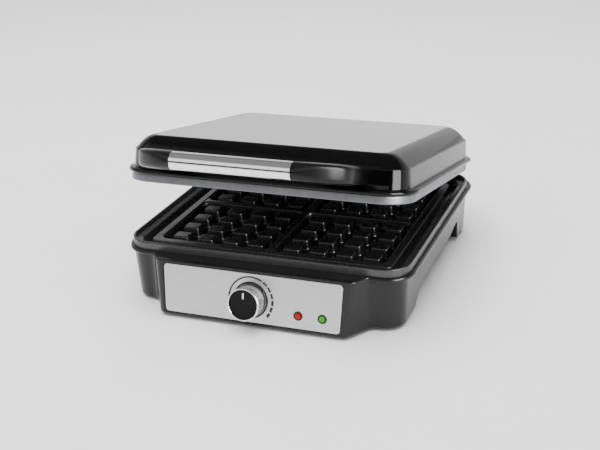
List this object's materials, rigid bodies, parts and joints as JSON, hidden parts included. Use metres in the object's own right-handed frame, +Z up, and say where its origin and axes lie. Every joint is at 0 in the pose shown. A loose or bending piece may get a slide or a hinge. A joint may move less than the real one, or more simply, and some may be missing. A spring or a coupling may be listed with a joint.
{
  "type": "waffle maker",
  "caption": "Table-top waffle maker with a square two-plate grill, a hinged lid with a tube handle, and a leaning control panel with a knob and two lamps.",
  "frame": {"origin": "centre of the rest footprint of the whole object, on the underside of the feet", "axes": "+X to the right seen from the front, +Y from the handle towards the hinge, +Z up"},
  "size_m": [0.297, 0.362, 0.1798],
  "materials": {
    "black_housing": "black moulded heat-resistant plastic, gloss",
    "lid_black": "high-gloss black",
    "cover_black": "matt black",
    "brushed_steel": "brushed along X",
    "handle_steel": "fine brushed tube",
    "nonstick": "satin black non-stick coating on a die-cast aluminium plate",
    "plate_grey": "grey coated cast plate",
    "heater": "tubular heater sheath",
    "sheet_steel": "bright aluminised sheet",
    "screw_steel": "zinc plated",
    "hinge_black": "black glass-filled plastic",
    "rubber": "black rubber",
    "red_lens": "red lamp lens",
    "green_lens": "green lamp lens",
    "ceramic": "white ceramic",
    "lead_white": "glass braid lead",
    "knob_silver": "satin silver",
    "chrome": "bright chrome",
    "knob_black": "satin black",
    "marker_white": "white print",
    "dial_print": "black print"
  },
  "bodies": {
    "base": {"base_housing": "black_housing", "bottom_cover": "cover_black", "cover_screws": "screw_steel", "screw_posts": "cover_black", "front_feet": "rubber", "rear_feet": "rubber", "lower_plate": "nonstick", "lower_heating_element": "heater", "lower_element_pins": "screw_steel", "lower_reflector": "sheet_steel", "lower_plate_screws": "screw_steel", "fascia_plate": "brushed_steel", "dial_scale": "dial_print", "lamp_collars": "cover_black", "red_lens": "red_lens", "green_lens": "green_lens", "thermostat_bracket": "screw_steel", "thermostat": "ceramic", "terminal_block": "ceramic", "thermal_fuse": "ceramic", "cord_gland": "rubber", "mains_lead": "lead_white", "heater_lead": "lead_white", "base_hinge_left": "hinge_black", "base_hinge_right": "hinge_black", "base_hinge_screws": "screw_steel", "hinge_pins": "screw_steel"},
    "lid": {"lid_housing": "lid_black", "lid_top_panel": "brushed_steel", "upper_plate": "plate_grey", "upper_heating_element": "heater", "upper_element_pins": "screw_steel", "upper_reflector": "sheet_steel", "upper_plate_screws": "screw_steel", "handle_bracket_left": "lid_black", "handle_bracket_right": "lid_black", "handle_tube": "handle_steel", "handle_screws": "screw_steel", "lid_hinge_arm_left": "hinge_black", "lid_hinge_arm_right": "hinge_black", "lid_arm_screws": "screw_steel"},
    "knob": {"knob_body": "knob_silver", "knob_ring": "chrome", "knob_cap": "knob_black", "knob_pointer": "marker_white", "thermostat_shaft": "screw_steel"}
  },
  "joints": [
    {"name": "lid_hinge", "type": "hinge", "parent": "base", "child": "lid", "pos_m": [0, 0.17196, 0.062], "axis": [-1, 0, 0], "range_deg": [-11.7, 93.3]},
    {"name": "thermostat_knob", "type": "hinge", "parent": "base", "child": "knob", "pos_m": [0, -0.15163, 0.02813], "axis": [0, -0.9813, 0.1927], "range_deg": [-130, 90]}
  ]
}
